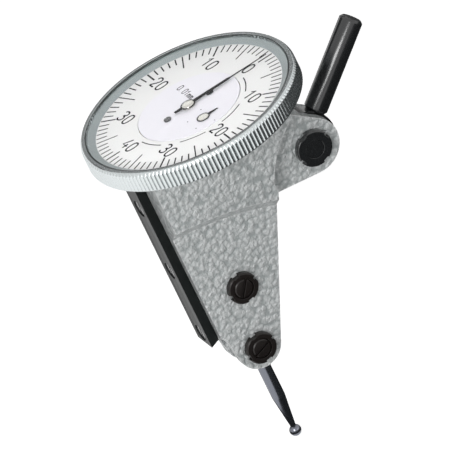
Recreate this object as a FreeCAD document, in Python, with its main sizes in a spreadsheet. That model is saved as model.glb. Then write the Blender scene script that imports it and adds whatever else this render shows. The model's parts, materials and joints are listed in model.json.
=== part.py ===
"""Dial test indicator with a vertical dial, a swivelling stylus and a folding clamping stem.

Frame: millimetres, +Z up along the body towards the dial. The origin is on the outer face of the dovetail
rail, X runs from the rail towards the clamping stem, and the dial's axis is parallel to Z.
"""
import FreeCAD, Part
import math
import os
import Sketcher

# ---------------------------------------------------------------- driving dimensions, in millimetres
DIAL_AXIS_X = 15.0
MIDDLE_PIVOT_X = 8.75
MIDDLE_PIVOT_Z = -10.0
LOWER_PIVOT_X = 7.03
LOWER_PIVOT_Z = -21.2
GEAR_MODULE = 0.25
SECTOR_TEETH = 147
CROWN_PINION_TEETH = 12
CROWN_TEETH = 60
CENTRE_PINION_TEETH = 10
CROWN_MODULE = 0.2
COUNTER_MODULE = 0.19
COUNTER_PINION_TEETH = 12
COUNTER_TEETH = 48
LEVER_RATIO = 2.0
CRYSTAL_RADIUS = 17.75
CRYSTAL_RISE = 0.35

# Places that follow from them: the crown wheel sits where sector and pinion mesh, straight below the dial.
MESH_DISTANCE = GEAR_MODULE * (SECTOR_TEETH + CROWN_PINION_TEETH) / 2
MESH_OFFSET_X = DIAL_AXIS_X - MIDDLE_PIVOT_X
MESH_RISE = math.sqrt(MESH_DISTANCE ** 2 - MESH_OFFSET_X ** 2)
PIVOT_LEAN = math.degrees(math.atan2(MIDDLE_PIVOT_X - LOWER_PIVOT_X, MIDDLE_PIVOT_Z - LOWER_PIVOT_Z))
PIVOT_DISTANCE = math.hypot(MIDDLE_PIVOT_X - LOWER_PIVOT_X, MIDDLE_PIVOT_Z - LOWER_PIVOT_Z)

SIZES = (
    ("dial_axis_x", DIAL_AXIS_X),
    ("middle_pivot_x", MIDDLE_PIVOT_X),
    ("middle_pivot_z", MIDDLE_PIVOT_Z),
    ("lower_pivot_x", LOWER_PIVOT_X),
    ("lower_pivot_z", LOWER_PIVOT_Z),
    ("crown_axis_z", MIDDLE_PIVOT_Z + MESH_RISE),
    ("mesh_angle", math.degrees(math.atan2(MESH_OFFSET_X, MESH_RISE))),
    ("pivot_lean", PIVOT_LEAN),
    ("lever_arm", PIVOT_DISTANCE * LEVER_RATIO / (1 + LEVER_RATIO)),
    ("sector_tail", PIVOT_DISTANCE / (1 + LEVER_RATIO)),
    ("sector_radius", GEAR_MODULE * SECTOR_TEETH / 2),
    ("sector_root", GEAR_MODULE * (SECTOR_TEETH / 2 - 1.1)),
    ("sector_pitch", 360.0 / SECTOR_TEETH),
    ("crown_pinion_radius", GEAR_MODULE * CROWN_PINION_TEETH / 2),
    ("crown_radius", CROWN_MODULE * CROWN_TEETH / 2),
    ("centre_pinion_radius", CROWN_MODULE * CENTRE_PINION_TEETH / 2),
    ("counter_axis_y", -COUNTER_MODULE * (COUNTER_PINION_TEETH + COUNTER_TEETH) / 2),
    # housing
    ("left_face_x", 1.9),
    ("slab_thickness", 6.8),
    ("head_thickness", 14.4),
    ("nose_radius", 3.9),
    ("taper_angle", 23.4),
    ("taper_length", 23.92),
    ("heel_z", -16.3),
    ("head_edge_left_z", 6.85),
    ("head_edge_right_z", 2.0),
    ("head_right_x", 20.4),
    ("head_top_x", 27.85),
    ("head_flare_z", 13.5),
    ("head_edge_radius", 58.0),
    ("head_flare_radius", 18.4),
    ("cove_drop", 2.7),
    ("neck_bottom_z", 17.0),
    ("neck_radius", 15.5),
    ("flange_bottom_z", 18.9),
    ("flange_top_z", 20.8),
    ("flange_radius", 16.9),
    ("groove_bottom_z", 19.5),
    ("groove_top_z", 20.1),
    ("groove_radius", 16.5),
    ("cup_floor_z", 18.2),
    ("cup_radius", 14.6),
    ("head_cavity_width", 11.4),
    ("lever_slot_width", 3.6),
    ("crown_pocket_width", 4.0),
    ("wall", 1.7),
    ("lug_thickness", 7.2),
    ("ear_radius", 4.9),
    ("stem_pivot_x", 29.64),
    ("stem_pivot_z", 4.9),
    ("stem_slot_width", 3.4),
    # dovetail rail
    ("rail_height", 1.9),
    ("rail_outer_width", 5.6),
    ("rail_root_width", 3.4),
    ("rail_top_z", 17.0),
    ("rail_bottom_z", -17.0),
    ("rail_screw_z", -2.2),
    ("rail_screw_spacing", 12.8),
    # bezel, crystal and dial
    ("bezel_diameter", 38.0),
    ("bezel_top_z", 22.5),
    ("bezel_bottom_z", 18.8),
    ("bezel_bore_radius", 17.0),
    ("lip_radius", 18.0),
    ("dial_window_radius", 16.35),
    ("dial_ring_top_z", 21.4),
    ("dial_disc_top_z", 21.5),
    ("dial_disc_radius", 8.95),
    ("dial_thickness", 0.4),
    ("dial_screw_offset", 4.15),
    ("crystal_thickness", 0.5),
    ("crystal_radius", CRYSTAL_RADIUS),
    ("crystal_rise", CRYSTAL_RISE),
    ("crystal_dome_radius", (CRYSTAL_RADIUS ** 2 + CRYSTAL_RISE ** 2) / (2 * CRYSTAL_RISE)),
    # pivots, levers and stylus
    ("bearing_screw_diameter", 3.5),
    ("locknut_diameter", 5.4),
    ("locknut_height", 1.1),
    ("bearing_pin_diameter", 1.0),
    ("hub_width", 3.4),
    ("drive_pin_diameter", 0.8),
    ("stylus_length", 18.7),
    ("ball_diameter", 2.0),
    ("shank_diameter", 2.4),
    ("neck_diameter", 1.1),
    # clamping stem
    ("stem_diameter", 4.0),
    ("stem_reach", 21.6),
    ("stem_tilt", 41.15),
    ("eye_radius", 5.3),
    ("eye_thickness", 2.9),
    ("stem_screw_diameter", 3.2),
    ("stem_nut_diameter", 6.3),
)

doc = FreeCAD.newDocument("dial_test_indicator")
sheet = doc.addObject("Spreadsheet::Sheet", "sizes")
for row, (alias, value) in enumerate(SIZES, start=1):
    sheet.set(f"A{row}", alias)
    sheet.set(f"B{row}", f"{value:.6f}")
    sheet.setAlias(f"B{row}", alias)
doc.recompute()
SIZE = dict(SIZES)
nodes = []


# ---------------------------------------------------------------- helpers for sketches and features
def new_body(name, place=("0", "0", "0"), turn=None):
    """A body whose origin stands at the given expressions, turned about Y by an angle if one is given."""
    body = doc.addObject("PartDesign::Body", name)
    body.Label = name
    if turn is not None:
        body.Placement = FreeCAD.Placement(FreeCAD.Vector(), FreeCAD.Rotation(FreeCAD.Vector(0, 1, 0), 1.0))
        body.setExpression("Placement.Rotation.Angle", turn)
    for axis, expression in zip("xyz", place):
        body.setExpression(f"Placement.Base.{axis}", expression)
    nodes.append(body)
    return body


def new_sketch(body, name, plane="XZ_Plane", lift=None, turn=None):
    """A sketch on one of the body's own planes, lifted along the plane's normal and turned in it."""
    sketch = body.newObject("Sketcher::SketchObject", f"{body.Label}_{name}")
    support = [feature for feature in body.Origin.OriginFeatures if feature.Role == plane][0]
    sketch.AttachmentSupport = (support, [""])
    sketch.MapMode = "FlatFace"
    if turn is not None:
        sketch.AttachmentOffset = FreeCAD.Placement(FreeCAD.Vector(), FreeCAD.Rotation(FreeCAD.Vector(0, 0, 1), 1.0))
        sketch.setExpression("AttachmentOffset.Rotation.Angle", turn)
    if lift is not None:
        sketch.setExpression("AttachmentOffset.Base.z", lift)
    return sketch


def anchor(sketch, x, y):
    """A construction point that two expressions hold in place."""
    guess = FreeCAD.Vector(1.0 + sketch.GeometryCount, 2.0 + 0.5 * sketch.GeometryCount, 0)
    point = sketch.addGeometry(Part.Point(guess), True)
    for kind, expression in (("DistanceX", x), ("DistanceY", y)):
        held = sketch.addConstraint(Sketcher.Constraint(kind, -1, 1, point, 1, 1.0))
        sketch.setExpression(f"Constraints[{held}]", expression)
    return point


def outline(sketch, corners):
    """A closed outline through corners (x, y); a corner with (radius alias, side) starts an arc."""
    points = [anchor(sketch, corner[0], corner[1]) for corner in corners]
    doc.recompute()
    for index, corner in enumerate(corners):
        here = points[index]
        there = points[(index + 1) % len(points)]
        start = sketch.getPoint(here, 1)
        end = sketch.getPoint(there, 1)
        edge = Part.LineSegment(start, end)
        if len(corner) == 4:
            chord = end - start
            across = FreeCAD.Vector(-chord.y, chord.x, 0).normalize()
            radius = SIZE[corner[2]]
            rise = radius - math.sqrt(radius ** 2 - (chord.Length / 2) ** 2)
            edge = Part.Arc(start, (start + end) * 0.5 + across * rise * corner[3], end)
        drawn = sketch.addGeometry(edge, False)
        ends = (1, 2) if (sketch.getPoint(drawn, 1) - start).Length < 1e-4 else (2, 1)
        sketch.addConstraint(Sketcher.Constraint("Coincident", drawn, ends[0], here, 1))
        sketch.addConstraint(Sketcher.Constraint("Coincident", drawn, ends[1], there, 1))
        if len(corner) == 4:
            held = sketch.addConstraint(Sketcher.Constraint("Radius", drawn, SIZE[corner[2]]))
            sketch.setExpression(f"Constraints[{held}]", f"sizes.{corner[2]}")
    return sketch


def circle(sketch, x, y, radius):
    """A circle about the point (x, y)."""
    centre = anchor(sketch, x, y)
    doc.recompute()
    drawn = sketch.addGeometry(Part.Circle(sketch.getPoint(centre, 1), FreeCAD.Vector(0, 0, 1), 1.0), False)
    sketch.addConstraint(Sketcher.Constraint("Coincident", drawn, 3, centre, 1))
    held = sketch.addConstraint(Sketcher.Constraint("Radius", drawn, 1.0))
    sketch.setExpression(f"Constraints[{held}]", radius)
    return sketch


def extrude(sketch, kind, length, symmetric=True, reverse=False):
    """A PartDesign Pad or Pocket of a sketch."""
    body = sketch.getParentGeoFeatureGroup()
    feature = body.newObject(f"PartDesign::{kind}", f"{sketch.Name}_{kind.lower()}")
    feature.Profile = sketch
    feature.setExpression("Length", length)
    feature.SideType = "Symmetric" if symmetric else "One side"
    feature.Reversed = reverse
    return feature


def pad(sketch, length, symmetric=True, reverse=False):
    return extrude(sketch, "Pad", length, symmetric, reverse)


def pocket(sketch, length, symmetric=True, reverse=False):
    return extrude(sketch, "Pocket", length, symmetric, reverse)


def revolve(sketch, kind="Revolution"):
    """The sketch turned once round its vertical axis."""
    body = sketch.getParentGeoFeatureGroup()
    feature = body.newObject(f"PartDesign::{kind}", f"{sketch.Name}_turned")
    feature.Profile = sketch
    feature.ReferenceAxis = (sketch, ["V_Axis"])
    feature.Angle = 360.0
    return feature


def turned(name, place, profile, plane="XZ_Plane", turn=None):
    """A turned piece: corners (radius, height) round Z on the XZ plane, or round Y on the XY plane."""
    body = new_body(name, place, turn)
    revolve(outline(new_sketch(body, "profile", plane), profile))
    return body


def polar(feature, axis, count, angle="360"):
    """Equal copies of a feature round one of the body's own axes."""
    body = feature.getParentGeoFeatureGroup()
    pattern = body.newObject("PartDesign::PolarPattern", f"{feature.Name}_ring")
    pattern.Originals = [feature]
    line = [item for item in body.Origin.OriginFeatures if item.Role == axis][0]
    pattern.Axis = (line, [""])
    pattern.setExpression("Angle", angle)
    pattern.Occurrences = count
    body.Tip = pattern
    return pattern


def rod(name, axis, start, length, radius):
    """A Part cylinder from a start point (three expressions) along +X, +Y or +Z."""
    turns = {"X": ((0, 1, 0), 90.0), "Y": ((1, 0, 0), -90.0), "Z": ((0, 0, 1), 0.0)}
    piece = doc.addObject("Part::Cylinder", name)
    piece.Label = name
    piece.Placement = FreeCAD.Placement(FreeCAD.Vector(), FreeCAD.Rotation(FreeCAD.Vector(*turns[axis][0]), turns[axis][1]))
    piece.setExpression("Height", length)
    piece.setExpression("Radius", radius)
    for side, expression in zip("xyz", start):
        piece.setExpression(f"Placement.Base.{side}", expression)
    return piece


def block(name, corner, size):
    """A Part box from its lowest corner; corner and size are expressions."""
    piece = doc.addObject("Part::Box", name)
    piece.Label = name
    for prop, expression in zip(("Length", "Width", "Height"), size):
        piece.setExpression(prop, expression)
    for side, expression in zip("xyz", corner):
        piece.setExpression(f"Placement.Base.{side}", expression)
    return piece


def fuse(name, pieces):
    """One solid from several."""
    whole = doc.addObject("Part::MultiFuse", name)
    whole.Label = name
    whole.Shapes = pieces
    return whole


def cut(name, base, tool):
    """The base less the tool."""
    piece = doc.addObject("Part::Cut", name)
    piece.Label = name
    piece.Base = base
    piece.Tool = tool
    return piece


def group(name, pieces):
    """Separate equal solids kept under one node."""
    whole = doc.addObject("Part::Compound", name)
    whole.Label = name
    whole.Links = pieces
    nodes.append(whole)
    return whole


def node(piece, name):
    """Marks a Part object as a finished node."""
    piece.Label = name
    nodes.append(piece)
    return piece


DIAL = ("sizes.dial_axis_x", "0", "0")
LOWER = ("sizes.lower_pivot_x", "0", "sizes.lower_pivot_z")
MIDDLE = ("sizes.middle_pivot_x", "0", "sizes.middle_pivot_z")
CROWN = ("sizes.dial_axis_x", "0", "sizes.crown_axis_z")
COUNTER = ("sizes.dial_axis_x", "sizes.counter_axis_y", "0")
STEM = ("sizes.stem_pivot_x", "0", "sizes.stem_pivot_z")


# ---------------------------------------------------------------- housing
def head_corners(drop):
    """The head's outline; drop lowers its curved bottom edge."""
    return [
        ("sizes.left_face_x", "sizes.neck_bottom_z + 0.5"),
        ("sizes.left_face_x", f"sizes.head_edge_left_z - {drop}", "head_edge_radius", 1),
        ("sizes.head_right_x - 0.45", f"sizes.head_edge_right_z - {drop}"),
        ("sizes.head_right_x", f"sizes.head_edge_right_z + 1.2 - {drop}"),
        ("sizes.head_right_x", "sizes.head_edge_right_z + 3.0", "head_flare_radius", 1),
        ("sizes.head_top_x", "sizes.head_flare_z"),
        ("sizes.head_top_x", "sizes.neck_bottom_z + 0.5"),
    ]


def taper_corner(along, inset):
    """A point on the tapered edge, a length along it from the nose and an inset from it."""
    x = (f"sizes.lower_pivot_x + (sizes.nose_radius - {inset}) * cos(sizes.taper_angle)"
         f" + {along} * sin(sizes.taper_angle)")
    z = (f"sizes.lower_pivot_z - (sizes.nose_radius - {inset}) * sin(sizes.taper_angle)"
         f" + {along} * cos(sizes.taper_angle)")
    return (x, z)


def housing():
    """The die-cast body: slab with a forked nose, head, stem lug and the cup that carries the bezel."""
    body = new_body("housing")
    pad(outline(new_sketch(body, "slab"), [
        ("sizes.left_face_x", "sizes.neck_bottom_z + 0.5"),
        ("sizes.left_face_x", "sizes.heel_z"),
        ("sizes.left_face_x + 0.6", "sizes.heel_z - 0.4"),
        ("sizes.lower_pivot_x - sizes.nose_radius", "sizes.lower_pivot_z"),
        taper_corner("0", "0"),
        taper_corner("sizes.taper_length", "0"),
        ("sizes.head_right_x", "sizes.neck_bottom_z + 0.5"),
    ]), "sizes.slab_thickness")
    pad(circle(new_sketch(body, "nose"), LOWER[0], LOWER[2], "sizes.nose_radius"), "sizes.slab_thickness")
    pad(outline(new_sketch(body, "lug"), [
        ("sizes.head_right_x - 2", "sizes.head_flare_z"),
        ("sizes.head_right_x - 2", "sizes.stem_pivot_z - sizes.ear_radius + 1.57"),
        ("sizes.stem_pivot_x - 0.71", "sizes.stem_pivot_z - sizes.ear_radius + 0.05"),
        ("sizes.stem_pivot_x + sizes.ear_radius * cos(45)", "sizes.stem_pivot_z + sizes.ear_radius * sin(45)"),
        ("sizes.stem_pivot_x - 0.74", "sizes.stem_pivot_z + 7.1"),
        ("sizes.head_top_x", "sizes.head_flare_z"),
    ]), "sizes.lug_thickness")
    pad(circle(new_sketch(body, "ear"), STEM[0], STEM[2], "sizes.ear_radius"), "sizes.lug_thickness")
    pad(outline(new_sketch(body, "head_core"), head_corners("sizes.cove_drop")), "sizes.slab_thickness")
    for side, sign in (("front", ""), ("back", "-")):
        root = outline(
            new_sketch(body, f"cove_{side}", lift=f"{sign}sizes.slab_thickness / 2"),
            head_corners("sizes.cove_drop"),
        )
        face = outline(
            new_sketch(body, f"head_{side}", lift=f"{sign}sizes.head_thickness / 2"),
            head_corners("0"),
        )
        cheek = body.newObject("PartDesign::AdditiveLoft", f"housing_cheek_{side}")
        cheek.Profile = root
        cheek.Sections = [face]
        cheek.Ruled = True
    steps = (
        ("neck", "neck_bottom_z", "flange_bottom_z", "neck_radius"),
        ("flange", "flange_bottom_z", "groove_bottom_z", "flange_radius"),
        ("groove", "groove_bottom_z", "groove_top_z", "groove_radius"),
        ("rim", "groove_top_z", "flange_top_z", "flange_radius"),
    )
    for name, low, high, radius in steps:
        ring = circle(new_sketch(body, name, "XY_Plane", f"sizes.{low}"), DIAL[0], "0", f"sizes.{radius}")
        pad(ring, f"sizes.{high} - sizes.{low}", symmetric=False)
    cup = circle(new_sketch(body, "cup", "XY_Plane", "sizes.flange_top_z"), DIAL[0], "0", "sizes.cup_radius")
    pocket(cup, "sizes.flange_top_z - sizes.cup_floor_z", symmetric=False)
    pocket(outline(new_sketch(body, "head_cavity"), [
        ("sizes.left_face_x + sizes.wall", "sizes.cup_floor_z + 1"),
        ("sizes.left_face_x + sizes.wall", "sizes.head_edge_left_z + sizes.wall"),
        ("sizes.head_right_x - sizes.wall", "sizes.head_edge_right_z + sizes.wall"),
        ("sizes.head_right_x - sizes.wall", "sizes.head_edge_right_z + 4.5"),
        ("sizes.head_top_x - sizes.wall - 1", "sizes.head_flare_z + 1"),
        ("sizes.head_top_x - sizes.wall - 1", "sizes.cup_floor_z + 1"),
    ]), "sizes.head_cavity_width")
    pocket(outline(new_sketch(body, "lever_slot"), [
        ("sizes.left_face_x + sizes.wall", "sizes.head_edge_left_z + 3"),
        ("sizes.left_face_x + sizes.wall", "sizes.heel_z - 1.5"),
        ("-1", "sizes.heel_z - 1.7"),
        ("-1", "sizes.lower_pivot_z - sizes.nose_radius - 1"),
        ("sizes.lower_pivot_x + 9", "sizes.lower_pivot_z - sizes.nose_radius - 1"),
        ("sizes.lower_pivot_x + 9", "sizes.heel_z - 1.7"),
        taper_corner("5.3", "sizes.wall"),
        taper_corner("sizes.taper_length", "sizes.wall"),
        ("sizes.head_right_x - sizes.wall", "sizes.head_edge_right_z + 4"),
    ]), "sizes.lever_slot_width")
    pocket(circle(new_sketch(body, "crown_pocket"), CROWN[0], CROWN[2], "sizes.crown_radius + 0.7"),
           "sizes.crown_pocket_width")
    for name, place in (("middle_bore", MIDDLE), ("lower_bore", LOWER)):
        bore = circle(new_sketch(body, name), place[0], place[2], "sizes.bearing_screw_diameter / 2 + 0.02")
        pocket(bore, "sizes.slab_thickness + 1")
    pocket(circle(new_sketch(body, "stem_slot"), STEM[0], STEM[2], "sizes.eye_radius + 0.45"),
           "sizes.stem_slot_width")
    pocket(circle(new_sketch(body, "stem_bore"), STEM[0], STEM[2], "sizes.stem_screw_diameter / 2 + 0.03"),
           "sizes.lug_thickness + 1")
    taps = new_sketch(body, "rail_taps", "YZ_Plane", "sizes.left_face_x")
    for step in (-1, 0, 1):
        circle(taps, "0", f"sizes.rail_screw_z + {step} * sizes.rail_screw_spacing", "0.8")
    pocket(taps, "sizes.wall", symmetric=False, reverse=True)
    return body


# ---------------------------------------------------------------- dovetail rail and its screws
def dovetail_rail():
    """The hardened clamping rail: a 60 degree dovetail with three countersunk holes."""
    body = new_body("dovetail_rail")
    pad(outline(new_sketch(body, "section", "XY_Plane", "sizes.rail_bottom_z"), [
        ("0", "-sizes.rail_outer_width / 2"),
        ("sizes.rail_height", "-sizes.rail_root_width / 2"),
        ("sizes.rail_height", "sizes.rail_root_width / 2"),
        ("0", "sizes.rail_outer_width / 2"),
    ]), "sizes.rail_top_z - sizes.rail_bottom_z", symmetric=False)
    for name, radius, depth in (("clearance", "0.85", "sizes.rail_height"), ("head_seat", "1.5", "1.0")):
        holes = new_sketch(body, name, "YZ_Plane")
        for step in (-1, 0, 1):
            circle(holes, "0", f"sizes.rail_screw_z + {step} * sizes.rail_screw_spacing", radius)
        pocket(holes, depth, symmetric=False, reverse=True)
    return body


def rail_screws():
    """Three cheese-head screws, sunk in the rail, that hold it to the body."""
    screws = []
    for step in (-1, 0, 1):
        height = f"sizes.rail_screw_z + {step} * sizes.rail_screw_spacing"
        head = rod(f"rail_screw_head_{step + 1}", "X", ("0.2", "0", height), "0.8", "1.4")
        shank = rod(f"rail_screw_shank_{step + 1}", "X", ("0.9", "0", height), "sizes.rail_height + 1.4 - 0.9", "0.78")
        whole = fuse(f"rail_screw_whole_{step + 1}", [head, shank])
        slot = block(f"rail_screw_slot_{step + 1}", ("0", "-0.2", f"{height} - 1.6"), ("0.55", "0.4", "3.2"))
        screws.append(cut(f"rail_screw_{step + 1}", whole, slot))
    return group("rail_screws", screws)


# ---------------------------------------------------------------- bezel, crystal and dial
def bezel_ring():
    """The turning bezel: a knurled skirt, a narrow lip and a sloping reflector round the dial."""
    outer = "sizes.bezel_diameter / 2"
    return turned("bezel_ring", DIAL, [
        ("sizes.bezel_bore_radius", "sizes.bezel_bottom_z"),
        (f"{outer} - 0.2", "sizes.bezel_bottom_z"),
        (outer, "sizes.bezel_bottom_z + 0.2"),
        (outer, "sizes.bezel_top_z - 0.5"),
        (f"{outer} - 0.35", "sizes.bezel_top_z"),
        ("sizes.lip_radius", "sizes.bezel_top_z"),
        ("sizes.lip_radius", "sizes.bezel_top_z - sizes.crystal_thickness"),
        ("sizes.lip_radius - 0.5", "sizes.bezel_top_z - sizes.crystal_thickness"),
        ("sizes.dial_window_radius", "sizes.dial_ring_top_z"),
        ("sizes.bezel_bore_radius", "sizes.dial_ring_top_z"),
        ("sizes.bezel_bore_radius", "sizes.groove_top_z"),
        ("sizes.bezel_bore_radius + 0.2", "sizes.groove_top_z - 0.1"),
        ("sizes.bezel_bore_radius + 0.2", "sizes.groove_bottom_z + 0.1"),
        ("sizes.bezel_bore_radius", "sizes.groove_bottom_z"),
    ])


def crystal():
    """The domed crystal, flush with the lip at its edge."""
    edge = "sizes.crystal_radius"
    low = "sizes.bezel_top_z - sizes.crystal_thickness"
    return turned("crystal", DIAL, [
        ("0", f"{low} + sizes.crystal_rise", "crystal_dome_radius", 1),
        (edge, low),
        (edge, "sizes.bezel_top_z", "crystal_dome_radius", -1),
        ("0", "sizes.bezel_top_z + sizes.crystal_rise"),
    ])


def washer(name, place, inner, outer, low, high, plane="XZ_Plane"):
    """A flat ring."""
    return turned(name, place, [(inner, low), (outer, low), (outer, high), (inner, high)], plane)


def dial_pieces():
    """The turning scale ring, the fixed inner disc with its two screws and posts, and the crystal's seal."""
    washer("crystal_seal", DIAL, "sizes.crystal_radius", "sizes.lip_radius",
           "sizes.bezel_top_z - sizes.crystal_thickness", "sizes.bezel_top_z - 0.05")
    washer("dial_ring", DIAL, "sizes.dial_disc_radius + 0.1", "sizes.bezel_bore_radius",
           "sizes.dial_ring_top_z - sizes.dial_thickness", "sizes.dial_ring_top_z")
    disc = new_body("dial_disc", DIAL)
    low = "sizes.dial_disc_top_z - sizes.dial_thickness"
    pad(circle(new_sketch(disc, "disc", "XY_Plane", low), "0", "0", "sizes.dial_disc_radius"),
        "sizes.dial_thickness", symmetric=False)
    holes = new_sketch(disc, "holes", "XY_Plane", "sizes.dial_disc_top_z")
    circle(holes, "0", "0", "0.8")
    circle(holes, "0", "sizes.counter_axis_y", "0.5")
    circle(holes, "sizes.dial_screw_offset", "0", "0.5")
    circle(holes, "-sizes.dial_screw_offset", "0", "0.5")
    pocket(holes, "sizes.dial_thickness", symmetric=False)
    screws = []
    posts = []
    for side, sign in (("left", "-"), ("right", "+")):
        x = f"sizes.dial_axis_x {sign} sizes.dial_screw_offset"
        head = rod(f"dial_screw_head_{side}", "Z", (x, "0", "sizes.dial_disc_top_z"), "0.22", "0.65")
        shank = rod(f"dial_screw_shank_{side}", "Z", (x, "0", "sizes.dial_disc_top_z - 1.2"), "1.2", "0.45")
        whole = fuse(f"dial_screw_whole_{side}", [head, shank])
        slot = block(f"dial_screw_slot_{side}", (f"{x} - 0.08", "-0.7", "sizes.dial_disc_top_z + 0.1"),
                     ("0.16", "1.4", "0.2"))
        screws.append(cut(f"dial_screw_{side}", whole, slot))
        column = rod(f"dial_post_column_{side}", "Z", (x, "0", "sizes.cup_floor_z + 1"),
                     "sizes.dial_disc_top_z - sizes.dial_thickness - sizes.cup_floor_z - 1", "1.2")
        tap = rod(f"dial_post_tap_{side}", "Z", (x, "0", "sizes.cup_floor_z + 1.6"), "3", "0.5")
        posts.append(cut(f"dial_post_{side}", column, tap))
    group("dial_screws", screws)
    group("dial_posts", posts)


def bezel_spring():
    """An open wire ring in the flange's groove that gives the bezel its friction."""
    ring = doc.addObject("Part::Torus", "bezel_spring")
    ring.setExpression("Radius1", "(sizes.groove_radius + sizes.bezel_bore_radius + 0.2) / 2 + 0.02")
    ring.setExpression("Radius2", "0.22")
    ring.Angle3 = 340.0
    ring.setExpression("Placement.Base.x", "sizes.dial_axis_x")
    ring.setExpression("Placement.Base.z", "(sizes.groove_bottom_z + sizes.groove_top_z) / 2")
    return node(ring, "bezel_spring")


# ---------------------------------------------------------------- hands and their arbors
def hand(name, place, low, high, corners, hub_radius):
    """A flat hand that points along +X, with an eye pressed on its hub."""
    body = new_body(name, place)
    thickness = f"{high} - {low}"
    mirrored = [(x, f"-({y})") for x, y in corners]
    pad(outline(new_sketch(body, "shape", "XY_Plane", low), mirrored + corners[::-1]), thickness, symmetric=False)
    pad(circle(new_sketch(body, "eye", "XY_Plane", low), "0", "0", f"{hub_radius} + 0.2"), thickness, symmetric=False)
    pocket(circle(new_sketch(body, "bore", "XY_Plane", high), "0", "0", hub_radius), "1", symmetric=False)
    return body


def hands():
    """The main pointer and the small hand of the revolution counter."""
    hand("pointer_hand", DIAL, "21.84", "21.96", [
        ("-2.6", "0.3"), ("0", "0.38"), ("7.9", "0.3"), ("8.4", "0.12"), ("15.4", "0.05")], "1.1")
    hand("counter_hand", COUNTER, "21.58", "21.66", [("-0.9", "0.25"), ("1.2", "0.32"), ("2.8", "0.08")], "0.95")


def arbors():
    """The centre arbor with its collet, and the counter's arbor with its own."""
    turned("centre_arbor", DIAL, [
        ("0", "13.0"), ("0.25", "13.0"), ("0.25", "13.8"), ("0.4", "13.8"), ("0.4", "21.7"), ("0", "21.7")])
    turned("pointer_hub", DIAL, [
        ("0", "21.7"), ("0.4", "21.7"), ("0.4", "21.54"), ("1.1", "21.54"), ("1.1", "21.95"),
        ("0.95", "22.1"), ("0.5", "22.22"), ("0", "22.25")])
    turned("counter_arbor", COUNTER, [
        ("0", "18.4"), ("0.2", "18.4"), ("0.2", "19.3"), ("0.3", "19.3"), ("0.3", "21.56"), ("0", "21.56")])
    turned("counter_hub", COUNTER, [
        ("0", "21.56"), ("0.95", "21.56"), ("0.95", "21.68"), ("0.7", "21.77"), ("0", "21.79")])


# ---------------------------------------------------------------- gears
def toothed(name, place, plane, low, thickness, teeth, module, axis, phase="0", bore=None):
    """A spur wheel: a root disc and one tooth, copied round the axis."""
    body = new_body(name, place)
    pitch = module * teeth / 2
    root = pitch - 1.1 * module
    wheel = circle(new_sketch(body, "disc", plane, low), "0", "0", f"{root:.5f}")
    if bore is not None:
        circle(wheel, "0", "0", bore)
    pad(wheel, thickness, symmetric=False)
    half_root = 0.95 * module
    half_pitch = 0.68 * module
    half_tip = 0.34 * module
    tip = pitch + 0.75 * module
    tooth = pad(outline(new_sketch(body, "tooth", plane, low, phase), [
        (f"-{half_root:.5f}", f"{root - 0.25 * module:.5f}"),
        (f"{half_root:.5f}", f"{root - 0.25 * module:.5f}"),
        (f"{half_pitch:.5f}", f"{pitch:.5f}"),
        (f"{half_tip:.5f}", f"{tip:.5f}"),
        (f"-{half_tip:.5f}", f"{tip:.5f}"),
        (f"-{half_pitch:.5f}", f"{pitch:.5f}"),
    ]), thickness, symmetric=False)
    polar(tooth, axis, teeth)
    return body


def crown_wheel():
    """The contrate wheel: a disc with upright teeth round its edge that turn the drive by a right angle."""
    body = new_body("crown_wheel", CROWN, turn=f"{180.0 / CROWN_TEETH}")
    web = circle(new_sketch(body, "web", lift="-1.7"), "0", "0", "sizes.crown_radius + 0.3")
    circle(web, "0", "0", "0.5")
    pad(web, "0.5", symmetric=False)
    face = 1.2
    tip = SIZE["centre_pinion_radius"] - 0.75 * CROWN_MODULE
    tooth = pad(outline(new_sketch(body, "tooth", "XY_Plane", "sizes.crown_radius - 0.6"), [
        ("-0.19", f"{face + 0.1}"),
        ("0.19", f"{face + 0.1}"),
        ("0.14", "sizes.centre_pinion_radius"),
        ("0.07", f"{tip}"),
        ("-0.07", f"{tip}"),
        ("-0.14", "sizes.centre_pinion_radius"),
    ]), "0.85", symmetric=False)
    polar(tooth, "Y_Axis", CROWN_TEETH)
    return body


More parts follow.
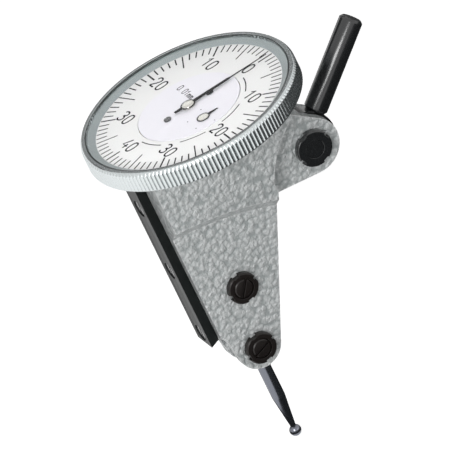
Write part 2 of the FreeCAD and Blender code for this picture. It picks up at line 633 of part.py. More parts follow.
def sector_lever():
    """The toothed sector with the forked tail that the lever's pin drives."""
    body = new_body("sector_lever", MIDDLE, turn="sizes.mesh_angle")
    root = SIZE["sector_root"]
    spread = (-4.0, 15.0)
    rim = [(f"{root * math.sin(math.radians(a)):.5f}", f"{root * math.cos(math.radians(a)):.5f}") for a in spread]
    low = "0"
    pad(outline(new_sketch(body, "fan", lift=low), [
        ("-1.0", "0"), (rim[0][0], rim[0][1], "sector_root", 1), rim[1], ("1.4", "0")]), "0.6", symmetric=False)
    pad(circle(new_sketch(body, "hub", lift=low), "0", "0", "2.1"), "0.6", symmetric=False)
    pad(outline(new_sketch(body, "tail", lift=low, turn="sizes.mesh_angle - sizes.pivot_lean"), [
        ("-1.1", "0"), ("-1.1", "-sizes.sector_tail - 0.9"), ("1.1", "-sizes.sector_tail - 0.9"), ("1.1", "0"),
    ]), "0.6", symmetric=False)
    pocket(outline(new_sketch(body, "fork", lift=low, turn="sizes.mesh_angle - sizes.pivot_lean"), [
        ("-sizes.drive_pin_diameter / 2 - 0.04", "-sizes.sector_tail + 0.8"),
        ("-sizes.drive_pin_diameter / 2 - 0.04", "-sizes.sector_tail - 1.2"),
        ("sizes.drive_pin_diameter / 2 + 0.04", "-sizes.sector_tail - 1.2"),
        ("sizes.drive_pin_diameter / 2 + 0.04", "-sizes.sector_tail + 0.8"),
    ]), "2", symmetric=True)
    window = [(f"{r * math.sin(math.radians(a)):.5f}", f"{r * math.cos(math.radians(a)):.5f}")
              for r, a in ((6.0, 4.0), (root - 2.0, -1.6), (root - 2.0, 12.4))]
    pocket(outline(new_sketch(body, "window", lift=low), window), "2", symmetric=True)
    pocket(circle(new_sketch(body, "bore", lift=low), "0", "0", "1.2"), "2", symmetric=True)
    pitch = SIZE["sector_radius"]
    tooth = pad(outline(new_sketch(body, "tooth", lift=low, turn="sizes.sector_pitch"), [
        (f"-{0.95 * GEAR_MODULE:.5f}", f"{root - 0.1:.5f}"),
        (f"{0.95 * GEAR_MODULE:.5f}", f"{root - 0.1:.5f}"),
        (f"{0.68 * GEAR_MODULE:.5f}", f"{pitch:.5f}"),
        (f"{0.34 * GEAR_MODULE:.5f}", f"{pitch + 0.75 * GEAR_MODULE:.5f}"),
        (f"-{0.34 * GEAR_MODULE:.5f}", f"{pitch + 0.75 * GEAR_MODULE:.5f}"),
        (f"-{0.68 * GEAR_MODULE:.5f}", f"{pitch:.5f}"),
    ]), "0.6", symmetric=False)
    polar(tooth, "Y_Axis", 7, "6 * sizes.sector_pitch")
    return body


def gear_train():
    """Every wheel and pinion between the sector and the two hands."""
    sector_lever()
    turned("sector_arbor", MIDDLE, [
        ("0", "-0.8"), ("0.53", "-0.8"), ("0.53", "-sizes.hub_width / 2"), ("1.2", "-sizes.hub_width / 2"),
        ("1.2", "sizes.hub_width / 2"), ("0.53", "sizes.hub_width / 2"), ("0.53", "0.8"), ("0", "0.8"),
    ], "XY_Plane")
    toothed("crown_pinion", CROWN, "XZ_Plane", "-0.2", "1.0", CROWN_PINION_TEETH, GEAR_MODULE, "Y_Axis",
            f"15 - sizes.mesh_angle", "0.5")
    crown_wheel()
    turned("crown_arbor", CROWN, [
        ("0", "-4.6"), ("0.3", "-4.6"), ("0.3", "-3.8"), ("0.5", "-3.8"), ("0.5", "3.0"), ("0.3", "3.0"),
        ("0.3", "3.8"), ("0", "3.8")], "XY_Plane")
    toothed("centre_pinion", DIAL, "XY_Plane", "14.0", "1.6", CENTRE_PINION_TEETH, CROWN_MODULE, "Z_Axis",
            None, "0.4")
    toothed("counter_pinion", DIAL, "XY_Plane", "19.8", "0.4", COUNTER_PINION_TEETH, COUNTER_MODULE, "Z_Axis",
            "15", "0.4")
    toothed("counter_wheel", COUNTER, "XY_Plane", "19.8", "0.4", COUNTER_TEETH, COUNTER_MODULE, "Z_Axis",
            None, "0.3")


def hairspring():
    """A flat spiral of half circles on the crown arbor, and the stud that pins its outer end."""
    turns = 9
    start = 0.75
    step = 0.16
    thick = 0.06

    def side(offset):
        arcs = []
        x = start
        for half in range(turns):
            radius = start + step * half
            centre = x - radius if half % 2 == 0 else x + radius
            way = 1 if half % 2 == 0 else -1
            first = FreeCAD.Vector(centre + way * (radius + offset), 0, 0)
            mid = FreeCAD.Vector(centre, 0, way * (radius + offset))
            last = FreeCAD.Vector(centre - way * (radius + offset), 0, 0)
            arcs.append(Part.Arc(first, mid, last).toShape())
            x = centre - way * radius
        return arcs

    outer = side(thick / 2)
    inner = side(-thick / 2)
    caps = [Part.LineSegment(outer[0].valueAt(outer[0].FirstParameter), inner[0].valueAt(inner[0].FirstParameter)),
            Part.LineSegment(outer[-1].valueAt(outer[-1].LastParameter), inner[-1].valueAt(inner[-1].LastParameter))]
    ribbon = Part.Wire(Part.__sortEdges__(outer + inner + [cap.toShape() for cap in caps]))
    spring = doc.addObject("Part::Feature", "hairspring")
    spring.Shape = Part.Face(ribbon).extrude(FreeCAD.Vector(0, 0.5, 0))
    spring.Placement = FreeCAD.Placement(FreeCAD.Vector(DIAL_AXIS_X, -2.6, SIZE["crown_axis_z"]), FreeCAD.Rotation())
    return node(spring, "hairspring")


# ---------------------------------------------------------------- movement frame
def movement():
    """The plate under the dial, the cocks that hang from it and their screws."""
    plate = new_body("movement_plate", DIAL)
    top = "sizes.cup_floor_z + 1"
    pad(circle(new_sketch(plate, "disc", "XY_Plane", "sizes.cup_floor_z"), "0", "0", "sizes.cup_radius - 0.1"),
        "1", symmetric=False)
    holes = new_sketch(plate, "holes", "XY_Plane", top)
    circle(holes, "0", "0", "0.43")
    circle(holes, "0", "sizes.counter_axis_y", "0.22")
    for x, y in (("-6.45", "-11.2"), ("6.45", "-11.2"), ("-6.45", "11.2"), ("6.45", "11.2")):
        circle(holes, x, y, "0.55")
    for x, y in (("-2.4", "-4.9"), ("2.4", "-4.9"), ("-2.4", "4.4"), ("2.4", "4.4"), ("0", "-2.2")):
        circle(holes, x, y, "0.42")
    pocket(holes, "1", symmetric=False)

    for name, inner, foot in (("front_cock", -4.6, -5.5), ("rear_cock", 3.0, 3.0)):
        body = new_body(name, DIAL)
        flank = outline(new_sketch(body, "flank", lift=f"{-inner}"), [
            ("-3.4", "sizes.cup_floor_z"), ("-3.4", "16.6"), ("-1.3", "sizes.crown_axis_z - 1.3"),
            ("1.3", "sizes.crown_axis_z - 1.3"), ("3.4", "16.6"), ("3.4", "sizes.cup_floor_z")])
        circle(flank, "0", "sizes.crown_axis_z", "0.33")
        pad(flank, "0.8", symmetric=False, reverse=True)
        flange = outline(new_sketch(body, "foot", "XY_Plane", "sizes.cup_floor_z - 1"), [
            ("-3.4", f"{foot}"), ("3.4", f"{foot}"), ("3.4", f"{foot + 2.5}"), ("-3.4", f"{foot + 2.5}")])
        pad(flange, "1", symmetric=False)
        taps = new_sketch(body, "taps", "XY_Plane", "sizes.cup_floor_z")
        middle = -4.9 if foot < 0 else 4.4
        circle(taps, "-2.4", f"{middle}", "0.42")
        circle(taps, "2.4", f"{middle}", "0.42")
        pocket(taps, "1", symmetric=False)

    lower = new_body("centre_cock", DIAL)
    pad(outline(new_sketch(lower, "bracket", "YZ_Plane"), [
        ("-2.9", "sizes.cup_floor_z"), ("-2.9", "13.0"), ("0.7", "13.0"), ("0.7", "13.7"), ("-2.2", "13.7"),
        ("-2.2", "sizes.cup_floor_z - 1"), ("-0.9", "sizes.cup_floor_z - 1"), ("-0.9", "sizes.cup_floor_z"),
    ]), "2.6")
    holes = new_sketch(lower, "holes", "XY_Plane", "sizes.cup_floor_z")
    circle(holes, "0", "0", "0.28")
    pocket(holes, "8", symmetric=False)


def screw(name, x, y, top, head_radius, head_height, shank_radius, length):
    """An upright screw with a slotted cheese head; top is the seat of the head."""
    head = rod(f"{name}_head", "Z", (x, y, top), f"{head_height}", f"{head_radius}")
    shank = rod(f"{name}_shank", "Z", (x, y, f"{top} - {length}"), f"{length}", f"{shank_radius}")
    whole = fuse(f"{name}_whole", [head, shank])
    slot = block(f"{name}_slot", (f"{x} - {head_radius}", f"{y} - 0.1", f"{top} + {head_height} / 2"),
                 (f"{2 * head_radius}", "0.2", f"{head_height}"))
    return cut(name, whole, slot)


def movement_screws():
    """Four screws hold the plate to the cup, and four hold the cocks to the plate."""
    top = "(sizes.cup_floor_z + 1)"
    plate = []
    cocks = []
    for index, (x, y) in enumerate(((-6.45, -11.2), (6.45, -11.2), (-6.45, 11.2), (6.45, 11.2))):
        plate.append(screw(f"plate_screw_{index}", f"(sizes.dial_axis_x + {x})", f"({y})", top, 0.95, 0.5, 0.5, 1.0))
    for index, (x, y) in enumerate(((-2.4, -4.9), (2.4, -4.9), (-2.4, 4.4), (2.4, 4.4))):
        cocks.append(screw(f"cock_screw_{index}", f"(sizes.dial_axis_x + {x})", f"({y})", top, 0.7, 0.4, 0.4, 1.9))
    group("plate_screws", plate)
    group("cock_screws", cocks)


# ---------------------------------------------------------------- pivots
def bearing(name, place, sign, turn_slot):
    """A slotted bearing screw with a pivot pin, and its castellated locknut, on one side of the body."""
    outer = "sizes.slab_thickness / 2 + sizes.locknut_height"
    inner = "sizes.hub_width / 2 + 0.12"
    radius = "sizes.bearing_screw_diameter / 2"
    pin = "sizes.bearing_pin_diameter / 2"
    body = doc.addObject("PartDesign::Body", name)
    for axis, expression in zip("xyz", place):
        body.setExpression(f"Placement.Base.{axis}", expression)
    body.Label = name
    revolve(outline(new_sketch(body, "profile", "XY_Plane"), [
        ("0", f"{sign} * (sizes.hub_width / 2 - 0.75)"),
        (pin, f"{sign} * (sizes.hub_width / 2 - 0.75)"),
        (pin, f"{sign} * ({inner})"),
        (radius, f"{sign} * ({inner})"),
        (radius, f"{sign} * ({outer} - 0.25)"),
        (f"{radius} - 0.3", f"{sign} * ({outer} + 0.05)"),
        ("0", f"{sign} * ({outer} + 0.05)"),
    ]))
    slot = new_sketch(body, "slot", "XZ_Plane", f"-({sign} * ({outer} + 0.1))", turn_slot)
    pocket(outline(slot, [("-2", "-0.22"), ("2", "-0.22"), ("2", "0.22"), ("-2", "0.22")]), "1.2")
    return body


def locknut(name, place, sign, inner, outer, low, height, phase):
    """A round nut with four notches for a pin wrench."""
    body = doc.addObject("PartDesign::Body", name)
    body.Label = name
    for axis, expression in zip("xyz", place):
        body.setExpression(f"Placement.Base.{axis}", expression)
    revolve(outline(new_sketch(body, "profile", "XY_Plane"), [
        (inner, f"{sign} * ({low})"),
        (outer, f"{sign} * ({low})"),
        (outer, f"{sign} * ({low} + {height} - 0.2)"),
        (f"{outer} - 0.2", f"{sign} * ({low} + {height})"),
        (inner, f"{sign} * ({low} + {height})"),
    ]))
    notch = pocket(outline(new_sketch(body, "notch", turn=phase), [
        ("-0.5", f"{outer} - 0.42"), ("0.5", f"{outer} - 0.42"), ("0.5", f"{outer} + 1"), ("-0.5", f"{outer} + 1"),
    ]), "14")
    polar(notch, "Y_Axis", 4)
    return body


def pivots():
    """The adjustable point bearings of sector and lever: a screw and a nut on either side of each."""
    for name, place, slot_turn in (("middle", MIDDLE, "55"), ("lower", LOWER, "18")):
        screws = []
        nuts = []
        for side, sign in (("front", -1), ("back", 1)):
            screws.append(bearing(f"{name}_screw_{side}", place, sign, slot_turn))
            nuts.append(locknut(f"{name}_nut_{side}", place, sign, "sizes.bearing_screw_diameter / 2 + 0.02",
                                "sizes.locknut_diameter / 2", "sizes.slab_thickness / 2", "sizes.locknut_height", "8"))
        group(f"{name}_bearing_screws", screws)
        group(f"{name}_locknuts", nuts)


# ---------------------------------------------------------------- lever and stylus
def lever_carrier():
    """The lower lever: a forked hub that grips the stylus knuckle, with an arm up to the drive pin."""
    body = new_body("lever_carrier", LOWER, turn="sizes.pivot_lean")
    pad(circle(new_sketch(body, "cheeks"), "0", "0", "2.7"), "sizes.hub_width")
    pad(outline(new_sketch(body, "bridge"), [
        ("-1.9", "0"), ("1.9", "0"), ("1.3", "4.6"), ("-1.3", "4.6")]), "sizes.hub_width")
    pad(outline(new_sketch(body, "arm", lift="-1.2"), [
        ("-1.1", "3.5"), ("1.1", "3.5"), ("0.8", "sizes.lever_arm + 0.9"), ("-0.8", "sizes.lever_arm + 0.9")]),
        "1.0", symmetric=False)
    pocket(circle(new_sketch(body, "knuckle_room"), "0", "0", "3.3"), "1.5")
    pocket(circle(new_sketch(body, "bore"), "0", "0", "sizes.bearing_pin_diameter / 2 + 0.03"), "sizes.hub_width + 1")
    pocket(circle(new_sketch(body, "pin_seat"), "0", "sizes.lever_arm", "sizes.drive_pin_diameter / 2"), "6")
    return body


def drive_pin():
    """The pin that couples the lever to the sector's fork."""
    body = new_body("drive_pin", LOWER, turn="sizes.pivot_lean")
    pad(circle(new_sketch(body, "round", lift="-1.2"), "0", "sizes.lever_arm", "sizes.drive_pin_diameter / 2"),
        "2.1", symmetric=False)
    return body


def stylus():
    """The knuckle held by friction in the lever's fork, the tapered shank and the ball."""
    knuckle = new_body("stylus_knuckle", LOWER)
    pad(circle(new_sketch(knuckle, "disc"), "0", "0", "3.0"), "1.3")
    neck = circle(new_sketch(knuckle, "neck", "XY_Plane", "-4.0"), "0", "0", "sizes.shank_diameter / 2 + 0.1")
    pad(neck, "1.1", symmetric=False)
    pocket(circle(new_sketch(knuckle, "bore"), "0", "0", "sizes.bearing_pin_diameter / 2 + 0.05"), "3")
    turned("stylus_shank", LOWER, [
        ("0", "-4.0"),
        ("sizes.shank_diameter / 2", "-4.0"),
        ("sizes.shank_diameter / 2", "-9.6"),
        ("sizes.neck_diameter / 2 + 0.12", "-13.2"),
        ("sizes.neck_diameter / 2", "-sizes.stylus_length + sizes.ball_diameter / 2 + 0.6"),
        ("sizes.neck_diameter / 2", "-sizes.stylus_length + 0.6"),
        ("0", "-sizes.stylus_length + 0.6"),
    ])
    ball = doc.addObject("Part::Sphere", "ball_form")
    ball.setExpression("Radius", "sizes.ball_diameter / 2")
    for axis, expression in zip("xyz", (LOWER[0], "0", "sizes.lower_pivot_z - sizes.stylus_length")):
        ball.setExpression(f"Placement.Base.{axis}", expression)
    seat = rod("ball_seat", "Z", (LOWER[0], "0", "sizes.lower_pivot_z - sizes.stylus_length + 0.6"), "2",
               "sizes.neck_diameter / 2")
    node(cut("stylus_ball", ball, seat), "stylus_ball")


# ---------------------------------------------------------------- clamping stem
def stem():
    """The folding clamping stem with its eye, pivot screw, notched nut and spring washer."""
    body = new_body("stem", STEM, turn="90 - sizes.stem_tilt")
    pad(circle(new_sketch(body, "eye"), "0", "0", "sizes.eye_radius"), "sizes.eye_thickness")
    shaft = outline(new_sketch(body, "shaft", "YZ_Plane"), [
        ("0", "sizes.eye_radius - 0.4"),
        ("sizes.eye_thickness / 2", "sizes.eye_radius - 0.4"),
        ("sizes.stem_diameter / 2", "sizes.eye_radius + 0.3"),
        ("sizes.stem_diameter / 2", "sizes.stem_reach - 0.4"),
        ("sizes.stem_diameter / 2 - 0.4", "sizes.stem_reach"),
        ("0", "sizes.stem_reach"),
    ])
    revolve(shaft)
    pocket(circle(new_sketch(body, "bore"), "0", "0", "sizes.stem_screw_diameter / 2 + 0.05"), "8")
    half = "sizes.lug_thickness / 2"
    turned("stem_screw", STEM, [
        ("0", f"-({half} + 1.0)"), ("sizes.stem_screw_diameter / 2", f"-({half} + 1.0)"),
        ("sizes.stem_screw_diameter / 2", half), ("sizes.stem_nut_diameter / 2", half),
        ("sizes.stem_nut_diameter / 2", f"{half} + 0.9"), ("sizes.stem_nut_diameter / 2 - 0.3", f"{half} + 1.2"),
        ("0", f"{half} + 1.2")], "XY_Plane")
    nut = locknut("stem_nut", STEM, -1, "sizes.stem_screw_diameter / 2 + 0.02", "sizes.stem_nut_diameter / 2",
                  half, "1.2", "20")
    nodes.append(nut)
    washer("stem_washer", STEM, "sizes.stem_screw_diameter / 2 + 0.1", "3.2", "sizes.eye_thickness / 2 + 0.02",
           "sizes.stem_slot_width / 2", "XY_Plane")


# ---------------------------------------------------------------- build, test and write
housing()
dovetail_rail()
rail_screws()
bezel_ring()
crystal()
dial_pieces()
bezel_spring()
hands()
arbors()
gear_train()
hairspring()
movement()
movement_screws()
pivots()
lever_carrier()
drive_pin()
stylus()
stem()
doc.recompute()

faults = [item.Label for item in doc.Objects if {"Invalid", "Error"} & set(item.State)]
for item in nodes:
    if item.Shape.isNull() or not item.Shape.isValid():
        faults.append(f"{item.Label} (shape)")
    if not item.Shape.Solids:
        faults.append(f"{item.Label} (no solid)")
if faults:
    raise SystemExit("failed: " + ", ".join(faults))

os.makedirs("parts", exist_ok=True)
for item in nodes:
    item.Shape.exportStep(os.path.join("parts", f"{item.Label}.step"))
    print(item.Label, len(item.Shape.Solids), round(item.Shape.Volume, 3))
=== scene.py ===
# %% [markdown]
# # A dial test indicator, dressed
#
# The instrument is a small lever gauge: a ball on a swivelling stylus moves a lever, gears turn the movement
# into the sweep of a hand, and a dial under a crystal shows hundredths of a millimetre. The solids of every
# part come ready made, each on the body that it moves with. This lesson gives them their surfaces: the
# knurled bezel, the printed dial, the hammered paint of the casting and the blackened screws.
#
# ## Loading the frame
#
# The frame holds the solids, in metres, at rest. Its box is kept, because dressing never changes the size.

# %% Load the solids
import json
import math
import bmesh
import bpy
import numpy as np
from mathutils import Matrix, Vector


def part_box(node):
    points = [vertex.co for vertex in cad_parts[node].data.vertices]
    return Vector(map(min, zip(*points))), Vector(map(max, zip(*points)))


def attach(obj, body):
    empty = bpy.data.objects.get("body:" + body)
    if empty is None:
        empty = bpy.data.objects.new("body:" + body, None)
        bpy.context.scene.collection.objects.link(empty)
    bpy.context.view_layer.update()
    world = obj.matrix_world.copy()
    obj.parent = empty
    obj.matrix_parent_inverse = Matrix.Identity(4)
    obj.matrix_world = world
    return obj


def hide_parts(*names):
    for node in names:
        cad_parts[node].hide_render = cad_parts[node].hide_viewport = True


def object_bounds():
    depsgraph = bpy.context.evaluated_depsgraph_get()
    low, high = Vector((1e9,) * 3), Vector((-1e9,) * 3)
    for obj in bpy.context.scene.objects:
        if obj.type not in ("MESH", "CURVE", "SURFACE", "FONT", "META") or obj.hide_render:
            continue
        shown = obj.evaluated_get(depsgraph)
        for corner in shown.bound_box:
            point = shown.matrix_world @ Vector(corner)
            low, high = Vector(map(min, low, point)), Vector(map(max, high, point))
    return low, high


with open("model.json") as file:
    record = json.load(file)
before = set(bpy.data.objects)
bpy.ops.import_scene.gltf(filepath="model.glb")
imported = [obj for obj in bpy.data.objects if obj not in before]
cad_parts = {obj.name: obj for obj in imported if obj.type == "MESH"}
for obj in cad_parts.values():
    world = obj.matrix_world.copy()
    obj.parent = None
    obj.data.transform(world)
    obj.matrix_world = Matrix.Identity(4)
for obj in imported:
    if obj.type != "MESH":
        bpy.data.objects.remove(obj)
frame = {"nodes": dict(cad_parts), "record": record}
cad_low, cad_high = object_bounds()
MM = 0.001
TURN = 2 * math.pi

# %% [markdown]
# ## Where things are
#
# Every place comes from the solids themselves: the dial's axis is the middle of the bezel, its levels are the
# tops of the ring and the disc, and the pivots are the middles of their nuts.

# %% Measure the solids
def middle(node):
    """The centre of a node's box."""
    low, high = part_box(node)
    return (low + high) / 2


bezel_low, bezel_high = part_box("bezel_ring")
DIAL_X = middle("bezel_ring").x
DIAL_Y = middle("bezel_ring").y
BEZEL_TOP = bezel_high.z
BEZEL_BOTTOM = bezel_low.z
BEZEL_RADIUS = (bezel_high.x - bezel_low.x) / 2
SCALE_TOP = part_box("dial_ring")[1].z
DISC_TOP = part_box("dial_disc")[1].z
COUNTER_Y = middle("counter_hub").y
LOWER = middle("lower_locknuts")
print("bezel radius", round(BEZEL_RADIUS / MM, 3), "mm, dial axis at x", round(DIAL_X / MM, 3), "mm")

# %% [markdown]
# ## Meshes from formulas
#
# A surface is a grid of points worked out with numpy, and each cell of the grid becomes a four-sided face.
# Rows that fall together, as at a pole or a seam, are merged so that the piece is closed, and the faces are
# then turned outwards. Edges sharper than a given angle stay crisp, and the rest is shaded smooth.

# %% From a grid of points to a piece on a body
def cells(rows, columns, first=0):
    """Four corners of each cell: point (i, j), then (i + 1, j), (i + 1, j + 1) and (i, j + 1)."""
    index = first + np.arange(rows * columns).reshape(rows, columns)
    return np.stack([index[:-1, :-1], index[1:, :-1], index[1:, 1:], index[:-1, 1:]], axis=-1).reshape(-1, 4)


def finish_mesh(mesh, merge, crease):
    """Merges points nearer than merge, turns the faces outwards and marks edges sharper than crease degrees."""
    work = bmesh.new()
    work.from_mesh(mesh)
    bmesh.ops.remove_doubles(work, verts=work.verts, dist=merge)
    bmesh.ops.recalc_face_normals(work, faces=work.faces)
    work.to_mesh(mesh)
    work.free()
    mesh.shade_smooth()
    mesh.set_sharp_from_angle(angle=math.radians(crease))


def place(name, mesh, material, body, replaced):
    """Puts a mesh in the scene as a piece that rides on a body and stands for the replaced nodes."""
    piece = bpy.data.objects.new(name, mesh)
    bpy.context.scene.collection.objects.link(piece)
    mesh.materials.clear()
    mesh.materials.append(material)
    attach(piece, body)
    if replaced:
        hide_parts(*replaced)
    print(name, len(mesh.polygons), "faces on", body)
    return piece


def surface(name, grids, material, body, replaced, merge=2e-7, crease=32):
    """One piece from grids of points, each an array of rows by columns by three."""
    points = []
    faces = []
    first = 0
    for grid in grids:
        rows, columns, _ = grid.shape
        points.append(grid.reshape(-1, 3))
        faces.append(cells(rows, columns, first))
        first += rows * columns
    mesh = bpy.data.meshes.new(name)
    mesh.from_pydata(np.concatenate(points).tolist(), [], np.concatenate(faces).tolist())
    finish_mesh(mesh, merge, crease)
    return place(name, mesh, material, body, replaced)


# %% [markdown]
# Turned parts are a profile carried round an axis. A real edge is never quite sharp, so each corner of a
# profile is rounded first. The rounded corner is what catches the light.

# %% Rounded profiles and turned grids
def rounded(corners, radius, steps=4):
    """A path with its inner corners softened: near each corner the point is (1-t)^2 A + 2t(1-t) P + t^2 B."""
    corners = np.array(corners, float)
    path = [corners[0]]
    t = np.linspace(0, 1, steps + 1)[:, None]
    for before, corner, after in zip(corners[:-2], corners[1:-1], corners[2:]):
        back = before - corner
        ahead = after - corner
        reach = min(radius, 0.45 * np.hypot(*back), 0.45 * np.hypot(*ahead))
        start = corner + back / np.hypot(*back) * reach
        end = corner + ahead / np.hypot(*ahead) * reach
        path.extend((1 - t) ** 2 * start + 2 * t * (1 - t) * corner + t ** 2 * end)
    path.append(corners[-1])
    return np.array(path)


def lathe(profile, count, centre, along="Z"):
    """A point at radius r and height h goes to centre + (r cos a, r sin a) across the axis and h along it."""
    angle = np.linspace(0, TURN, count + 1)
    radius = profile[:, :1] * MM
    height = np.repeat(profile[:, 1:] * MM, count + 1, axis=1)
    across = radius * np.cos(angle)
    up = radius * np.sin(angle)
    order = {"Z": (across, up, height), "Y": (across, height, up), "X": (height, across, up)}[along]
    return np.stack(order, axis=-1) + np.array(centre)


DIAL = (DIAL_X, DIAL_Y, 0.0)
COUNTER = (DIAL_X, COUNTER_Y, 0.0)

# %% [markdown]
# Parts whose solid already has the right shape are copied, their loose triangles are joined into clean faces,
# and a Bevel modifier breaks the edges by a few hundredths of a millimetre, as a deburring wheel does.

# %% Copies with broken edges
def dressed(node, body, material, edge, crease=32, segments=2, name=None):
    """The node's own shape as one closed mesh with its sharp edges broken by edge millimetres."""
    mesh = frame["nodes"][node].data.copy()
    work = bmesh.new()
    work.from_mesh(mesh)
    bmesh.ops.remove_doubles(work, verts=work.verts, dist=1e-6)
    bmesh.ops.dissolve_limit(work, angle_limit=math.radians(0.5), verts=work.verts, edges=work.edges)
    work.to_mesh(mesh)
    work.free()
    mesh.shade_smooth()
    mesh.set_sharp_from_angle(angle=math.radians(crease))
    piece = place(name or f"{node}_finished", mesh, material, body, [node])
    bevel = piece.modifiers.new("broken_edges", "BEVEL")
    bevel.width = edge * MM
    bevel.segments = segments
    bevel.limit_method = "ANGLE"
    bevel.angle_limit = math.radians(crease)
    bevel.harden_normals = True
    return piece


# %% [markdown]
# ## Finishes
#
# Two effects are shared by several materials and are node groups: a fine grain, which varies the roughness and
# lifts the surface a little, and a painted edge highlight, a paler colour laid where the surface turns sharply.

# %% Helpers for node groups and materials
def new_group(name, inputs, outputs):
    """An empty shader group with named sockets; inputs are (name, kind, value)."""
    group = bpy.data.node_groups.new(name, "ShaderNodeTree")
    for label, kind, value in inputs:
        socket = group.interface.new_socket(label, in_out="INPUT", socket_type=kind)
        if value is not None:
            socket.default_value = value
    for label, kind in outputs:
        group.interface.new_socket(label, in_out="OUTPUT", socket_type=kind)
    return group, group.nodes.new("NodeGroupInput"), group.nodes.new("NodeGroupOutput")


def add(tree, kind, values=None, **settings):
    """A node with its settings and the values of its unlinked sockets."""
    made = tree.nodes.new(kind)
    for key, value in settings.items():
        setattr(made, key, value)
    for key, value in (values or {}).items():
        made.inputs[key].default_value = value
    return made


def new_material(name, **values):
    """A material with a Principled shader whose even values are set on its own sockets."""
    material = bpy.data.materials.new(name)
    material.use_nodes = True
    shader = material.node_tree.nodes["Principled BSDF"]
    for key, value in values.items():
        shader.inputs[key.replace("_", " ")].default_value = value
    return material, material.node_tree, shader


# %% Fine grain, for every metal
grain_group, entry, leave = new_group(
    "fine_grain",
    [("Scale", "NodeSocketFloat", 6000.0), ("Low", "NodeSocketFloat", 0.2), ("High", "NodeSocketFloat", 0.35),
     ("Lift", "NodeSocketFloat", 0.1)],
    [("Roughness", "NodeSocketFloat"), ("Normal", "NodeSocketVector")],
)
links = grain_group.links
where = add(grain_group, "ShaderNodeTexCoord")
noise = add(grain_group, "ShaderNodeTexNoise", {"Detail": 4.0, "Roughness": 0.6})
spread = add(grain_group, "ShaderNodeMapRange", {"From Min": 0.3, "From Max": 0.7})
bump = add(grain_group, "ShaderNodeBump", {"Distance": 0.00002})
links.new(where.outputs["Object"], noise.inputs["Vector"])
links.new(entry.outputs["Scale"], noise.inputs["Scale"])
links.new(noise.outputs["Fac"], spread.inputs["Value"])
links.new(entry.outputs["Low"], spread.inputs["To Min"])
links.new(entry.outputs["High"], spread.inputs["To Max"])
links.new(spread.outputs["Result"], leave.inputs["Roughness"])
links.new(noise.outputs["Fac"], bump.inputs["Height"])
links.new(entry.outputs["Lift"], bump.inputs["Strength"])
links.new(bump.outputs["Normal"], leave.inputs["Normal"])
print("group", grain_group.name)


# %% Painted edge highlight, for the paint and the black steel
# The mask finds where the surface turns sharply, and the materials paint a paler highlight there.
edge_group, entry, leave = new_group(
    "painted_edge_highlight", [("Radius", "NodeSocketFloat", 0.0002), ("Reach", "NodeSocketFloat", 0.12)],
    [("Mask", "NodeSocketFloat")],
)
links = edge_group.links
soft = add(edge_group, "ShaderNodeBevel", samples=4)
plain = add(edge_group, "ShaderNodeNewGeometry")
match = add(edge_group, "ShaderNodeVectorMath", operation="DOT_PRODUCT")
turned = add(edge_group, "ShaderNodeMath", {0: 1.0}, operation="SUBTRACT")
fade = add(edge_group, "ShaderNodeMapRange", {"From Min": 0.01})
links.new(entry.outputs["Radius"], soft.inputs["Radius"])
links.new(soft.outputs["Normal"], match.inputs[0])
links.new(plain.outputs["Normal"], match.inputs[1])
links.new(match.outputs["Value"], turned.inputs[1])
links.new(turned.outputs["Value"], fade.inputs["Value"])
links.new(entry.outputs["Reach"], fade.inputs["From Max"])
links.new(fade.outputs["Result"], leave.inputs["Mask"])
print("group", edge_group.name)


# %% Plain metals, paints and plastics with that grain
def grained(name, colour, metallic, low, high, scale=6000.0, lift=0.1, **extra):
    """A finish of one colour whose roughness wanders between low and high."""
    material, tree, shader = new_material(name, Base_Color=(*colour, 1.0), Metallic=metallic, **extra)
    grain = add(tree, "ShaderNodeGroup", node_tree=grain_group)
    for key, value in (("Scale", scale), ("Low", low), ("High", high), ("Lift", lift)):
        grain.inputs[key].default_value = value
    tree.links.new(grain.outputs["Roughness"], shader.inputs["Roughness"])
    tree.links.new(grain.outputs["Normal"], shader.inputs["Normal"])
    return material


def paint_edge_highlight(material, highlight_colour, radius):
    """Mixes a finish's colour towards a paler one along the edges: a painted highlight where the edges catch the
    light.
    """
    tree = material.node_tree
    shader = tree.nodes["Principled BSDF"]
    edges = add(tree, "ShaderNodeGroup", node_tree=edge_group)
    edges.inputs["Radius"].default_value = radius
    blend = add(tree, "ShaderNodeMix", data_type="RGBA")
    before = shader.inputs["Base Color"]
    if before.is_linked:
        tree.links.new(before.links[0].from_socket, blend.inputs["A"])
    else:
        blend.inputs["A"].default_value = before.default_value
    blend.inputs["B"].default_value = (*highlight_colour, 1.0)
    tree.links.new(edges.outputs["Mask"], blend.inputs["Factor"])
    tree.links.new(blend.outputs["Result"], before)


